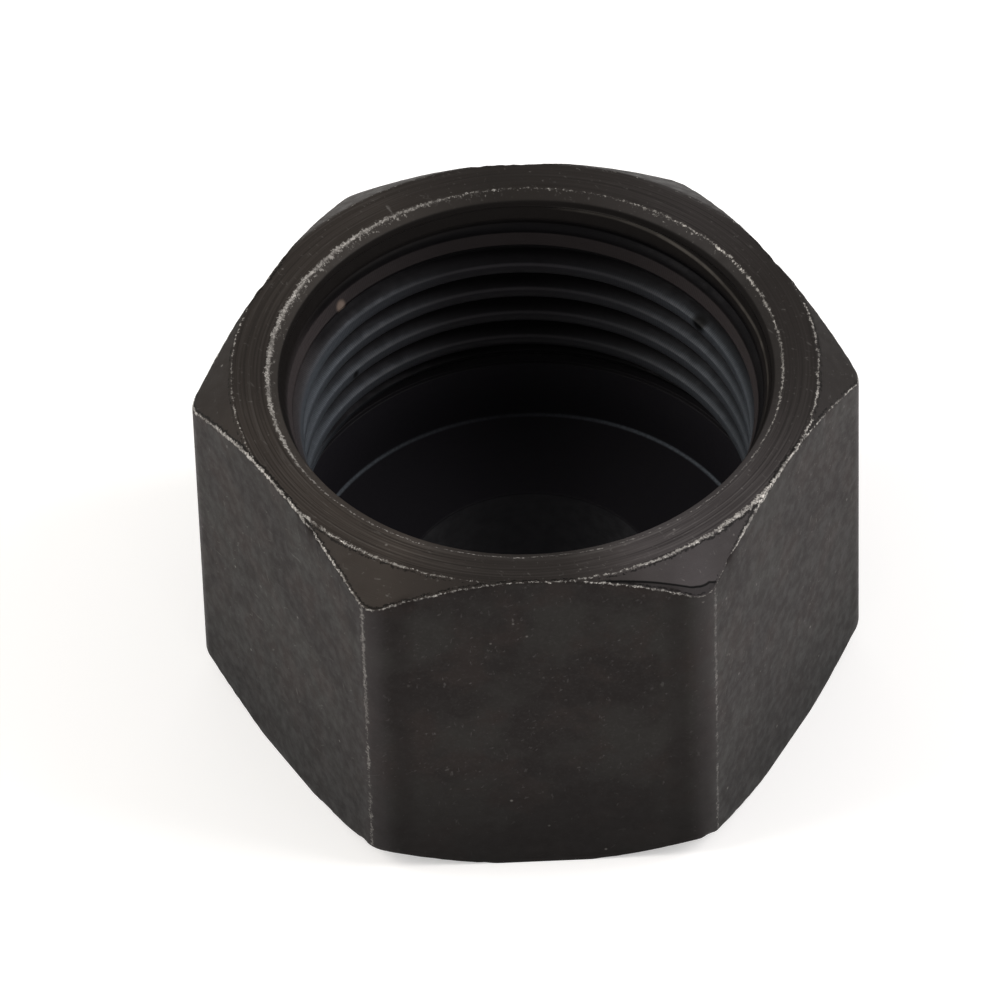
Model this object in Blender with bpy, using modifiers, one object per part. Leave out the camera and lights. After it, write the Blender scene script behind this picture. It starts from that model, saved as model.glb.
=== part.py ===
"""Collet nut: a hexagonal steel nut that stands on its nose, with its thread mouth up.

The nut is one turned and milled piece. A hexagonal bar with rounded corners is cut by a turned
envelope, which leaves the two chamfers and their arcs on the flats. The bore is turned from the
mouth down: an edge chamfer, a steep lead-in cone, the length to be threaded, an undercut that the
thread runs out into, a pocket whose sloping seat presses on the collet head, and the nose hole. The
right-hand thread is then cut by carrying the section of its groove up a helix.

Origin: centre of the nose face. +Z runs along the axis towards the thread mouth. Metres.
"""

import math

import bmesh
import bpy

# Thread: 7/8 inch nominal diameter, 16 threads to the inch
THREAD_DIAMETER = 0.022225
THREAD_PITCH = 0.0015875

# Hexagonal body: its width across flats follows from the thread, the undercut and this wall
WALL_AT_FLATS = 0.00218
HEIGHT = 0.0189
CORNER_RADIUS = 0.0011

# Turned chamfers on the two ends: how far each flat face reaches past the flats, and the cone's slope
MOUTH_FACE_MARGIN = 0.00005
MOUTH_CHAMFER_SLOPE = math.radians(39.0)
NOSE_FACE_MARGIN = 0.00017
NOSE_CHAMFER_SLOPE = math.radians(34.0)

# Mouth of the bore
LEAD_CLEARANCE = 0.00027
LEAD_HALF_ANGLE = math.radians(18.0)
EDGE_CHAMFER_WIDTH = 0.00053
EDGE_CHAMFER_DEPTH = 0.00035

# Undercut below the thread, and the narrow ledge it ends on
UNDERCUT_CLEARANCE = 0.0002
UNDERCUT_LENGTH = 0.0006
LEDGE_WIDTH = 0.0002

# Pocket for the collet head: a slightly tapered wall down to the seat, and the nose hole
POCKET_LENGTH = 0.0031
POCKET_TAPER = 0.00037
SEAT_DROP = 0.0005
NOSE_WALL = 0.00433
NOSE_HOLE_DIAMETER = 0.0121
NOSE_HOLE_CHAMFER = 0.0002

# Roundness
TURNED_STEPS = 96
CORNER_SEGMENTS = 5

# Bar and cutters run past the finished faces by this much
OVERCUT = 0.0006

# Thread groove in pitches: its depth and the width of its flat root; and the angle of its flanks
GROOVE_DEPTH_PER_PITCH = 0.5
ROOT_WIDTH_PER_PITCH = 0.125
FLANK_ANGLE = math.radians(30.0)

# The groove's section passes into the bore by this much, and ends this far above the undercut's top
GROOVE_OVERCUT = 0.0001
GROOVE_END_RISE = 0.00009

THREAD_RADIUS = THREAD_DIAMETER / 2.0
MINOR_RADIUS = THREAD_RADIUS - GROOVE_DEPTH_PER_PITCH * THREAD_PITCH
UNDERCUT_RADIUS = THREAD_RADIUS + UNDERCUT_CLEARANCE
SEAT_RIM_HEIGHT = NOSE_WALL + SEAT_DROP
LEDGE_HEIGHT = SEAT_RIM_HEIGHT + POCKET_LENGTH
UNDERCUT_TOP = LEDGE_HEIGHT + UNDERCUT_LENGTH
FLAT_DISTANCE = UNDERCUT_RADIUS + WALL_AT_FLATS
CORNER_DISTANCE = FLAT_DISTANCE / math.cos(math.pi / 6.0)

PART_NAME = "collet_nut"


def new_collection(name):
    """A collection of its own under the scene."""
    collection = bpy.data.collections.new(name)
    bpy.context.scene.collection.children.link(collection)
    return collection


def move_to(obj, collection):
    """Take the object out of every collection and put it in this one."""
    for other in list(obj.users_collection):
        other.objects.unlink(obj)
    collection.objects.link(obj)


def turned_body(name, profile, collection):
    """Turn an open profile of (radius, height) points, given from the top down, about Z."""
    mesh = bpy.data.meshes.new(name)
    points = [(radius, 0.0, height) for radius, height in profile]
    edges = [(i, i + 1) for i in range(len(points) - 1)]
    mesh.from_pydata(points, edges, [])
    obj = bpy.data.objects.new(name, mesh)
    collection.objects.link(obj)
    screw = obj.modifiers.new("turn", "SCREW")
    screw.axis = "Z"
    screw.angle = 2.0 * math.pi
    screw.steps = TURNED_STEPS
    screw.render_steps = TURNED_STEPS
    screw.use_merge_vertices = True
    screw.merge_threshold = 0.00001
    screw.use_smooth_shade = True
    return obj


def thread_groove(name, collection):
    """The groove of the thread, which climbs counterclockwise from the undercut out of the mouth.

    Its section is a trapezoid with a flat root, wider towards the axis, so that each turn leaves a
    flat crest between itself and the next.
    """
    inner_radius = MINOR_RADIUS - GROOVE_OVERCUT
    root_half = ROOT_WIDTH_PER_PITCH * THREAD_PITCH / 2.0
    inner_half = root_half + (THREAD_RADIUS - inner_radius) * math.tan(FLANK_ANGLE)
    start = UNDERCUT_TOP + GROOVE_END_RISE
    turns = math.ceil((HEIGHT - start) / THREAD_PITCH)
    section = [
        (inner_radius, start + inner_half),
        (THREAD_RADIUS, start + root_half),
        (THREAD_RADIUS, start - root_half),
        (inner_radius, start - inner_half),
    ]
    # It starts near -Y, half a facet round from the bore's facets, so that no edges fall together.
    angle = (math.pi / TURNED_STEPS) - math.pi / 2.0
    mesh = bpy.data.meshes.new(name)
    points = [(radius * math.cos(angle), radius * math.sin(angle), height) for radius, height in section]
    mesh.from_pydata(points, [(0, 1), (1, 2), (2, 3), (3, 0)], [])
    obj = bpy.data.objects.new(name, mesh)
    collection.objects.link(obj)
    screw = obj.modifiers.new("helix", "SCREW")
    screw.axis = "Z"
    screw.angle = 2.0 * math.pi
    screw.iterations = turns
    screw.screw_offset = THREAD_PITCH
    screw.steps = TURNED_STEPS
    screw.render_steps = TURNED_STEPS

    # The swept section is a tube, which is closed at its two ends before it can cut.
    graph = bpy.context.evaluated_depsgraph_get()
    swept = bpy.data.meshes.new_from_object(obj.evaluated_get(graph))
    obj.modifiers.clear()
    work = bmesh.new()
    work.from_mesh(swept)
    bmesh.ops.holes_fill(work, edges=[edge for edge in work.edges if edge.is_boundary])
    bmesh.ops.recalc_face_normals(work, faces=work.faces)
    work.to_mesh(swept)
    work.free()
    obj.data = swept
    return obj


def hexagonal_bar(name, collection):
    """A length of hexagonal bar with rounded corners, longer than the nut at both ends."""
    length = HEIGHT + 2.0 * OVERCUT
    bpy.ops.mesh.primitive_cylinder_add(
        vertices=6,
        radius=CORNER_DISTANCE,
        depth=length,
        location=(0.0, 0.0, HEIGHT / 2.0),
        rotation=(0.0, 0.0, math.pi / 6.0),
    )
    bar = bpy.context.object
    bar.name = name
    bar.data.name = name
    move_to(bar, collection)
    # Only the six long edges are rounded.
    weights = bar.data.attributes.new("bevel_weight_edge", "FLOAT", "EDGE")
    for edge in bar.data.edges:
        low, high = (bar.data.vertices[i].co for i in edge.vertices)
        if abs(low.z - high.z) > length / 2.0:
            weights.data[edge.index].value = 1.0
    bevel = bar.modifiers.new("corner_rounding", "BEVEL")
    bevel.limit_method = "WEIGHT"
    bevel.offset_type = "OFFSET"
    # A radius r in a 120 degree corner starts r * tan(30 degrees) away from the corner.
    bevel.width = CORNER_RADIUS * math.tan(math.pi / 6.0)
    bevel.segments = CORNER_SEGMENTS
    return bar


def envelope_profile():
    """Outside of the turned nut: two flat faces and their chamfer cones, wider than the bar."""
    mouth_radius = FLAT_DISTANCE + MOUTH_FACE_MARGIN
    nose_radius = FLAT_DISTANCE + NOSE_FACE_MARGIN
    reach = max(CORNER_DISTANCE, mouth_radius, nose_radius) + OVERCUT
    mouth_drop = (reach - mouth_radius) * math.tan(MOUTH_CHAMFER_SLOPE)
    nose_rise = (reach - nose_radius) * math.tan(NOSE_CHAMFER_SLOPE)
    return [
        (0.0, HEIGHT),
        (mouth_radius, HEIGHT),
        (reach, HEIGHT - mouth_drop),
        (reach, nose_rise),
        (nose_radius, 0.0),
        (0.0, 0.0),
    ]


def bore_profile():
    """Inside of the nut from the mouth down to the nose, run past both faces."""
    lead_radius = THREAD_RADIUS + LEAD_CLEARANCE
    rim_radius = lead_radius + EDGE_CHAMFER_WIDTH
    pocket_radius = UNDERCUT_RADIUS - LEDGE_WIDTH
    hole_radius = NOSE_HOLE_DIAMETER / 2.0

    chamfer_rate = EDGE_CHAMFER_WIDTH / EDGE_CHAMFER_DEPTH
    lead_top = HEIGHT - EDGE_CHAMFER_DEPTH
    lead_foot = lead_top - (lead_radius - MINOR_RADIUS) / math.tan(LEAD_HALF_ANGLE)
    # The undercut's upper shoulder slopes at 45 degrees up to the thread's minor diameter.
    shoulder_top = UNDERCUT_TOP + (UNDERCUT_RADIUS - MINOR_RADIUS)
    return [
        (0.0, HEIGHT + OVERCUT),
        (rim_radius + OVERCUT * chamfer_rate, HEIGHT + OVERCUT),
        (lead_radius, lead_top),
        (MINOR_RADIUS, lead_foot),
        (MINOR_RADIUS, shoulder_top),
        (UNDERCUT_RADIUS, UNDERCUT_TOP),
        (UNDERCUT_RADIUS, LEDGE_HEIGHT),
        (pocket_radius, LEDGE_HEIGHT),
        (pocket_radius - POCKET_TAPER, SEAT_RIM_HEIGHT),
        (hole_radius, NOSE_WALL),
        (hole_radius, NOSE_HOLE_CHAMFER),
        (hole_radius + NOSE_HOLE_CHAMFER + OVERCUT, -OVERCUT),
        (0.0, -OVERCUT),
    ]


def cut(target, tool, operation):
    """Add a Boolean of the target with the tool, and show the tool as a wire only."""
    boolean = target.modifiers.new(operation.lower() + "_" + tool.name, "BOOLEAN")
    boolean.operation = operation
    boolean.solver = "EXACT"
    boolean.object = tool
    tool.hide_render = True
    tool.display_type = "WIRE"


def black_steel():
    """Steel with a black oxide skin."""
    material = bpy.data.materials.new("black_oxide_steel")
    material.use_nodes = True
    shader = material.node_tree.nodes["Principled BSDF"]
    shader.inputs["Base Color"].default_value = (0.060, 0.056, 0.053, 1.0)
    shader.inputs["Metallic"].default_value = 0.85
    shader.inputs["Roughness"].default_value = 0.42
    return material


def finished_mesh(obj):
    """Replace the object's base mesh by its evaluated shape, and shade it with crisp edges."""
    graph = bpy.context.evaluated_depsgraph_get()
    mesh = bpy.data.meshes.new_from_object(obj.evaluated_get(graph))
    obj.modifiers.clear()
    work = bmesh.new()
    work.from_mesh(mesh)
    bmesh.ops.dissolve_limit(
        work, angle_limit=math.radians(0.05), verts=work.verts, edges=work.edges)
    bmesh.ops.triangulate(work, faces=work.faces)
    work.to_mesh(mesh)
    work.free()
    mesh.name = obj.name
    mesh.shade_smooth()
    mesh.set_sharp_from_angle(angle=math.radians(20.0))
    obj.data = mesh


def build():
    for obj in list(bpy.data.objects):
        bpy.data.objects.remove(obj, do_unlink=True)
    part = new_collection(PART_NAME)
    cutters = new_collection(PART_NAME + "_cutters")

    nut = hexagonal_bar(PART_NAME, part)
    cut(nut, turned_body("turned_envelope", envelope_profile(), cutters), "INTERSECT")
    cut(nut, turned_body("bore", bore_profile(), cutters), "DIFFERENCE")
    cut(nut, thread_groove("thread", cutters), "DIFFERENCE")
    finished_mesh(nut)
    nut.data.materials.clear()
    nut.data.materials.append(black_steel())


build()
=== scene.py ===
# %% [markdown]
# # A collet nut in black steel
# A collet nut screws onto a spindle and squeezes a slotted sleeve, the collet, onto the shank of a
# cutter. It is one piece of steel: hexagonal bar, turned at both ends, bored, threaded and
# blackened. This lesson starts from the measured model, works out a finer skin for it with numpy,
# with rounded, knocked and worn edges, and gives that skin its black finish.

# %% Load the measured model
import math

import bpy
import numpy as np
from mathutils import Matrix


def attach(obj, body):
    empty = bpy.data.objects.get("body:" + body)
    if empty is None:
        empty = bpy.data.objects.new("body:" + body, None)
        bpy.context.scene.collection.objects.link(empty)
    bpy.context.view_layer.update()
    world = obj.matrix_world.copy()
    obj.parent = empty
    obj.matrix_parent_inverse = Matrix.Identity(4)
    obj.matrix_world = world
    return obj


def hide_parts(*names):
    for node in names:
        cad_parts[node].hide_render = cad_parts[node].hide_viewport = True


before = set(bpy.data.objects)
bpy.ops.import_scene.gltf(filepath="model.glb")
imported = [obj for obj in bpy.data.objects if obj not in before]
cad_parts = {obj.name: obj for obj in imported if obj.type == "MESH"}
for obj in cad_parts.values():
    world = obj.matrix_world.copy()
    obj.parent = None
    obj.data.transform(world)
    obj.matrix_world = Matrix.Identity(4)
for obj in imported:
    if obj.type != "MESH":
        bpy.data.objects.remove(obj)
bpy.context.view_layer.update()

# %% [markdown]
# ## Sizes
# A turned part is described from its axis outwards, so nearly every size is a radius or a height.
# They are kept in millimetres, as on a workshop drawing, and turned into metres only when the
# vertices are written. They repeat the measured model, which the skin has to fit exactly.

# %% Sizes in millimetres
MM = 0.001
THREAD_RADIUS = 11.1125
PITCH = 1.5875
MINOR_RADIUS = THREAD_RADIUS - PITCH / 2
FLAT_DISTANCE = 13.4925
CORNER_RADIUS = 1.24
HEIGHT = 18.9

MOUTH_FACE_RADIUS = FLAT_DISTANCE + 0.05
MOUTH_CHAMFER = math.tan(math.radians(39))
NOSE_FACE_RADIUS = FLAT_DISTANCE + 0.17
NOSE_CHAMFER = math.tan(math.radians(34))

LEAD_RADIUS = THREAD_RADIUS + 0.27
RIM_RADIUS = LEAD_RADIUS + 0.53
LEAD_TOP = HEIGHT - 0.35
LEAD_TAPER = math.tan(math.radians(18))

UNDERCUT_RADIUS = THREAD_RADIUS + 0.2
POCKET_RADIUS = UNDERCUT_RADIUS - 0.2
SEAT_RADIUS = POCKET_RADIUS - 0.37
SEAT_RIM = 4.83
LEDGE = SEAT_RIM + 3.1
UNDERCUT_TOP = LEDGE + 0.6
HOLE_RADIUS = 6.05
NOSE_WALL = 4.33
HOLE_CHAMFER = 0.05
print("minor diameter of the thread", round(2 * MINOR_RADIUS, 3), "mm")

# %% [markdown]
# ## The camera
# The photograph looks down at the nut from about 46 degrees, through a long lens, so the hexagon's
# upright corners are almost parallel. Fitting a pinhole camera to the outline and to the circles of
# the mouth gives the distance, the tilt and a small roll. The nut's front flat is turned a little
# under one degree from the camera.

# %% Camera
VIEW_WIDTH = 1001
FOCAL_PIXELS = 11480.0
SENSOR = 36.0
ELEVATION = math.radians(46.3)
AZIMUTH = math.radians(-90.81)
ROLL = math.radians(-1.84)
DISTANCE = 535.6
AIM = np.array([0.0, 0.0, 8.77])
SLIDE_RIGHT = -1.345
SLIDE_UP = 0.958

back = np.array([math.cos(ELEVATION) * math.cos(AZIMUTH),
                 math.cos(ELEVATION) * math.sin(AZIMUTH), math.sin(ELEVATION)])
level = np.array([-math.sin(AZIMUTH), math.cos(AZIMUTH), 0.0])
upright = np.cross(back, level)
right = math.cos(ROLL) * level + math.sin(ROLL) * upright
up = math.cos(ROLL) * upright - math.sin(ROLL) * level
eye = AIM + back * DISTANCE + right * SLIDE_RIGHT + up * SLIDE_UP

camera_data = bpy.data.cameras.new("camera")
camera_data.sensor_width = SENSOR
camera_data.lens = FOCAL_PIXELS / VIEW_WIDTH * SENSOR
camera_data.clip_start = 0.01
camera = bpy.data.objects.new("camera", camera_data)
bpy.context.scene.collection.objects.link(camera)
pose = np.eye(4)
pose[:3, 0], pose[:3, 1], pose[:3, 2], pose[:3, 3] = right, up, back, eye * MM
camera.matrix_world = Matrix(pose.tolist())
bpy.context.scene.camera = camera
print("lens", round(camera_data.lens, 1), "mm")

# %% [markdown]
# ## Going round the outside
# Seen from above, the nut is a hexagon with rounded corners. Each of its columns of vertices stands
# at an angle of its own: close together round the corners, where the surface bends, and wide apart
# on the flats. In the bore the columns are evenly spread, so the two sets are blended across the
# mouth face and the nose face. The outside carries small knocks on its edges, so it has twice as
# many columns as the bore.

# %% Columns
FLAT_STEPS = 72
CORNER_STEPS = 24


def column_angles():
    """Two angles in radians for each column: even spacing, and spacing gathered at the corners.

    A sector of 60 degrees runs from one tangent point of a flat, across it, and round a corner.
    The tangent point lies at atan(tan(30) * (1 - corner radius / flat distance)).
    """
    tangent = math.atan(math.tan(math.pi / 6) * (1 - CORNER_RADIUS / FLAT_DISTANCE))
    across = np.linspace(-tangent, tangent, FLAT_STEPS, endpoint=False)
    around = np.linspace(tangent, math.pi / 3 - tangent, CORNER_STEPS, endpoint=False)
    steps = FLAT_STEPS + CORNER_STEPS
    gathered = np.concatenate([across, around])
    even = (np.arange(steps) - FLAT_STEPS / 2) * (math.pi / 3 / steps)
    sectors = np.arange(6)[:, None] * math.pi / 3
    return (sectors + even).ravel(), (sectors + gathered).ravel()


def hexagon_radius(angle):
    """Distance from the axis to the rounded hexagon, which has a flat facing angle 0.

    On a flat it is distance / cos(b), with b the angle from the middle of the flat. On a corner it
    is where the ray meets a circle of the corner radius about the point inside the corner.
    """
    b = (angle + math.pi / 6) % (math.pi / 3) - math.pi / 6
    centre = (FLAT_DISTANCE - CORNER_RADIUS) / math.cos(math.pi / 6)
    g = math.pi / 6 - np.abs(b)
    inside = np.maximum(CORNER_RADIUS ** 2 - (centre * np.sin(g)) ** 2, 0)
    tangent = math.tan(math.pi / 6) * (1 - CORNER_RADIUS / FLAT_DISTANCE)
    return np.where(np.abs(np.tan(b)) > tangent, centre * np.cos(g) + np.sqrt(inside),
                    FLAT_DISTANCE / np.cos(b))


even_angle, gathered_angle = column_angles()
bore_angle = even_angle[::2]
COLUMNS = len(even_angle)
BORE_COLUMNS = len(bore_angle)
outline = hexagon_radius(gathered_angle)
print(COLUMNS, "columns; corners", round(2 * float(outline.max()), 3), "mm across")

# %% [markdown]
# ## Round the nut in degrees
# Wear and knocks differ from side to side, so they are given by compass angle: 0 is the corner on
# the right, 90 the back, 180 the corner on the left and 270, or -90, the front flat. A few pairs of
# angle and amount are joined by straight lines, and the last is joined to the first.

# %% Values round the nut


def compass(angle):
    """Degrees from +X for a column angle, which counts from the front flat."""
    return np.degrees(angle) % 360 - 90


def round_the_nut(angle, pairs):
    """Amount at each angle, joined by straight lines between (degrees, amount) pairs."""
    degrees, amounts = np.array(pairs, float).T
    return np.interp(compass(angle), degrees, amounts, period=360)


def round_noise(angle, per_turn, seed):
    """Smooth random numbers from 0 to 1 round the nut: random values joined by eased lines."""
    values = np.random.default_rng(seed).random(per_turn)
    place = (compass(angle) % 360) / 360 * per_turn
    first = np.floor(place).astype(int)
    t = place - first
    ease = t * t * (3 - 2 * t)
    return values[first % per_turn] * (1 - ease) + values[(first + 1) % per_turn] * ease


# The rim was cut in a second clamping, a little off the axis. On the right that left a shallow
# step, whose foot lies so far below the mouth at each compass angle.
STEP_DEPTH = 0.12
STEP_SIDE = 5.0
STEP_FALL = 1.5
STEP_FOOT = [(-90, 1.0), (14, 1.0), (24, 1.08), (32, 1.04), (39, 0.95), (47, 0.87), (55, 0.77),
             (66, 0.70), (180, 0.70)]


def step_depth(angle):
    """Extra radius of the step at the top: greatest towards its side, none on the far half."""
    facing = np.clip(np.cos(np.radians(compass(angle) - STEP_SIDE)), 0, 1)
    return STEP_DEPTH * facing ** STEP_FALL


def step_foot(angle):
    """Height where the step runs out: it climbs from the right towards the back."""
    return HEIGHT - round_the_nut(angle, STEP_FOOT)


def plain_bore(height, angle):
    """Radius of the turned bore: lead-in cone with its step, minor cylinder, shoulder, undercut."""
    lead = LEAD_RADIUS - (LEAD_TOP - height) * LEAD_TAPER
    foot = step_foot(angle)
    lead = lead + step_depth(angle) * np.clip((height - foot) / (LEAD_TOP - foot), 0, 1)
    shoulder = UNDERCUT_RADIUS - (height - UNDERCUT_TOP)
    return np.maximum(np.maximum(lead, MINOR_RADIUS), np.minimum(shoulder, UNDERCUT_RADIUS))


print("step on the right", round(float(step_depth(bore_angle).max()), 2), "mm deep")

# %% [markdown]
# ## One profile, edge by edge
# Every column follows the same path: up the lead-in cone, over the rim, across the mouth face, down
# the chamfer and the flat, under the nose and up through the hole to the undercut. A real edge is
# never perfectly sharp. Sliding a short window along the path and averaging rounds every edge by
# the same small amount, whatever its angle, and needs no special case where the chamfer dies out in
# the middle of a flat.

# %% Corners of the path
THREAD_BLOCK_TOP = LEAD_TOP - 0.30
THREAD_BLOCK_FOOT = UNDERCUT_TOP - 0.15
EDGE_ROUND = 0.06
ROUND_SHIFTS = 9
# Numbers of the corners on the path, counted from 0
LEAD_EDGE, RIM_EDGE, FACE_EDGE, ARC_EDGE, LOW_ARC_EDGE, NOSE_EDGE, HOLE_EDGE = range(1, 8)
SEAT_EDGE = 10


def corner_points():
    """Corners of the path of each column: arrays of radius, height and blend, one row per corner.

    Blend is 0 where the column has its even angle and 1 where it has its gathered angle. The
    chamfers are cones: they meet the flat where the height is face height - (radius - face radius)
    * slope, so each flat shows them as an arc.
    """
    top_radius = np.minimum(MOUTH_FACE_RADIUS, outline)
    low_radius = np.minimum(NOSE_FACE_RADIUS, outline)
    top_height = HEIGHT - np.maximum(outline - MOUTH_FACE_RADIUS, 0) * MOUTH_CHAMFER
    low_height = np.maximum(outline - NOSE_FACE_RADIUS, 0) * NOSE_CHAMFER
    path = [
        (plain_bore(THREAD_BLOCK_TOP, even_angle), THREAD_BLOCK_TOP, 0),
        (plain_bore(LEAD_TOP, even_angle), LEAD_TOP, 0), (RIM_RADIUS, HEIGHT, 0),
        (top_radius, HEIGHT, 1), (outline, top_height, 1), (outline, low_height, 1),
        (low_radius, 0, 1), (HOLE_RADIUS + HOLE_CHAMFER, 0, 0), (HOLE_RADIUS, HOLE_CHAMFER, 0),
        (HOLE_RADIUS, NOSE_WALL, 0), (SEAT_RADIUS, SEAT_RIM, 0), (POCKET_RADIUS, LEDGE, 0),
        (UNDERCUT_RADIUS, LEDGE, 0), (UNDERCUT_RADIUS, THREAD_BLOCK_FOOT, 0),
    ]
    ones = np.ones(COLUMNS)
    return [np.array([value * ones for value in column]) for column in zip(*path)]


# Rows between two corners, and how far from a corner the rows beside it lie, in millimetres. They
# are drawn in where the corners are nearer than so many times the farthest of them.
NEAR_SHARP = (0.03, 0.075, 0.14, 0.24)
NEAR_PLAIN = (0.04, 0.11)
CROWDED = 2.4
GAPS = [(1, NEAR_PLAIN), (2, NEAR_PLAIN), (8, NEAR_SHARP), (4, NEAR_SHARP), (15, NEAR_SHARP),
        (3, NEAR_SHARP), (7, NEAR_SHARP), (0, NEAR_PLAIN), (2, NEAR_PLAIN), (4, NEAR_PLAIN),
        (2, NEAR_PLAIN), (0, NEAR_PLAIN), (0, NEAR_PLAIN)]


def path_rows(length):
    """Positions of the rows along each column's path, from the lengths between its corners.

    Each corner has a row on it and a few close beside it, drawn in where two corners are near each
    other. The rows left over are evenly spaced. The last list says which row lies on each corner.
    """
    stations = np.vstack([np.zeros(COLUMNS), np.cumsum(length, axis=0)])
    rows, corner_rows = [stations[:1]], [0]
    for i, (count, near) in enumerate(GAPS):
        near = np.array(near)
        beside = near[:, None] * np.minimum(1, length[i] / (CROWDED * near[-1]))
        first, last = beside[-1], length[i] - beside[-1]
        share = np.linspace(0, 1, count + 2)[1:-1, None]
        rows += [stations[i] + beside, stations[i] + first + share * (last - first),
                 stations[i + 1] - beside[::-1], stations[i + 1:i + 2]]
        corner_rows.append(corner_rows[-1] + 2 * len(near) + count + 1)
    return stations, np.vstack(rows), corner_rows


def along(values, stations, place):
    """Value at each place on the path: first value + sum of every step's share already passed."""
    total = np.repeat(values[:1], len(place), axis=0)
    for i in range(len(values) - 1):
        span = np.maximum(stations[i + 1] - stations[i], 1e-9)
        total += (values[i + 1] - values[i]) * np.clip((place - stations[i]) / span, 0, 1)
    return total


def rounded(values, stations, place):
    """Mean of the value over a window of one edge rounding each side, which rounds the corners."""
    shifts = np.linspace(-1, 1, ROUND_SHIFTS)
    reach = np.minimum(EDGE_ROUND, np.minimum(place, stations[-1] - place))
    return sum(along(values, stations, place + s * reach) for s in shifts) / len(shifts)


corner_radius, corner_height, corner_blend = corner_points()
length = np.hypot(np.diff(corner_radius, axis=0), np.diff(corner_height, axis=0))
stations, place, corner_rows = path_rows(length)
skin_radius = rounded(corner_radius, stations, place)
skin_height = rounded(corner_height, stations, place)
skin_blend = along(corner_blend, stations, place)
skin_angle = even_angle + skin_blend * (gathered_angle - even_angle)
print(len(place), "rows outside the thread")

# %% [markdown]
# ## Knocks and burrs
# The nut has lain in a tray with others and has been gripped by spanners. Its edges waver by a few
# hundredths of a millimetre, and here and there they have a dent. Each mark only takes metal away,
# so the nut never grows past its measured box. A mark is a smooth pit: its depth falls off with the
# distance along the edge and across it.

# %% Marks on the edges
WAVER_DEPTH = 0.035
WAVER_REACH = 0.10
# A second waver, so many times slower, weakens the first in places. Its seed is so much higher.
WAVER_SLOWER = 7
SLOWER_SEED = 10
# Edge, values a turn
WAVERS = [(RIM_EDGE, 330), (FACE_EDGE, 260), (ARC_EDGE, 300), (LOW_ARC_EDGE, 280)]
# Edge, degrees, half length along the edge, half width across it, depth; lengths in millimetres
DENTS = [
    (ARC_EDGE, 222.7, 0.34, 0.17, 0.15), (ARC_EDGE, 225.4, 0.20, 0.14, 0.11),
    (ARC_EDGE, 218.5, 0.16, 0.12, 0.08), (ARC_EDGE, 241.8, 0.45, 0.12, 0.12),
    (ARC_EDGE, 246.6, 0.25, 0.16, 0.15), (ARC_EDGE, 307.1, 0.28, 0.16, 0.15),
    (ARC_EDGE, 338.0, 0.20, 0.12, 0.08), (ARC_EDGE, 351.0, 0.26, 0.10, 0.07),
    (ARC_EDGE, 28.0, 0.30, 0.13, 0.09), (ARC_EDGE, 97.0, 0.22, 0.12, 0.08),
    (ARC_EDGE, 152.0, 0.35, 0.12, 0.10), (FACE_EDGE, 318.0, 0.30, 0.12, 0.05),
    (FACE_EDGE, 232.0, 0.20, 0.10, 0.04), (RIM_EDGE, 176.0, 0.30, 0.12, 0.05),
    (RIM_EDGE, 190.0, 0.22, 0.12, 0.06), (RIM_EDGE, 198.0, 0.25, 0.10, 0.05),
    (LOW_ARC_EDGE, 236.0, 0.30, 0.12, 0.08), (LOW_ARC_EDGE, 300.0, 0.25, 0.14, 0.08),
    (LOW_ARC_EDGE, 12.0, 0.30, 0.12, 0.10), (LOW_ARC_EDGE, 131.0, 0.25, 0.12, 0.08),
]


def edge_marks():
    """Depth of the marks in millimetres at every vertex of the skin: wavering edges, then dents.

    Each is depth * exp(-(across / width)^2 - (along / length)^2), and the deepest counts.
    """
    depth = np.zeros_like(place)
    for edge, per_turn in WAVERS:
        quick = round_noise(skin_angle, per_turn, edge)
        waver = quick * round_noise(skin_angle, per_turn // WAVER_SLOWER, edge + SLOWER_SEED)
        across = (place - stations[edge]) / WAVER_REACH
        depth = np.maximum(depth, WAVER_DEPTH * 2 * waver * np.exp(-across ** 2))
    for edge, degrees, half_length, half_width, deep in DENTS:
        turn = (compass(skin_angle) - degrees + 180) % 360 - 180
        sideways = np.radians(turn) * skin_radius / half_length
        across = (place - stations[edge]) / half_width
        depth = np.maximum(depth, deep * np.exp(-across ** 2 - sideways ** 2))
    depth[:corner_rows[LEAD_EDGE]] = 0
    depth[corner_rows[NOSE_EDGE]:] = 0
    return depth


def press_in(depth):
    """Radius and height moved into the metal: the path's direction, turned by a right angle."""
    ahead, behind = place + EDGE_ROUND, place - EDGE_ROUND
    forward = along(corner_radius, stations, ahead) - along(corner_radius, stations, behind)
    upward = along(corner_height, stations, ahead) - along(corner_height, stations, behind)
    size = np.maximum(np.hypot(forward, upward), 1e-9)
    return skin_radius + depth * upward / size, skin_height - depth * forward / size


marks = edge_marks()
skin_radius, skin_height = press_in(marks)
print("deepest mark", round(float(marks.max()), 3), "mm")

# %% [markdown]
# ## The thread
# A thread cutter leaves a groove that climbs one pitch a turn. A flat grid would cut across it and
# need a very fine mesh, so the rows here climb with the groove: one long strip winds down the bore,
# and its lower edge meets the upper edge of its next turn. At both ends the strip narrows to
# nothing, so that it starts and stops on a level ring. The surface is wherever the deeper of two
# cuts went: the plain bore, or the groove.

# %% Thread strip
CREST_AT_FRONT = -3.144
CREST_HALF = 0.1488 * PITCH
FLANK_SLOPE = 1 / math.tan(math.pi / 6)
EDGE_SHARE = 0.022
THREAD_SHIFTS = 7
# For the finish: the groove depth from which it is thread, and where beside a crest it ends
THREAD_FULL = 0.15
CREST_MARGIN, CREST_FADE = 0.03, 0.17
# Shares of the pitch at which the thread's outline turns, counted from the middle of the root
TURNS_AT = (0.0625, 0.3512, 0.6488, 0.9375)


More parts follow.
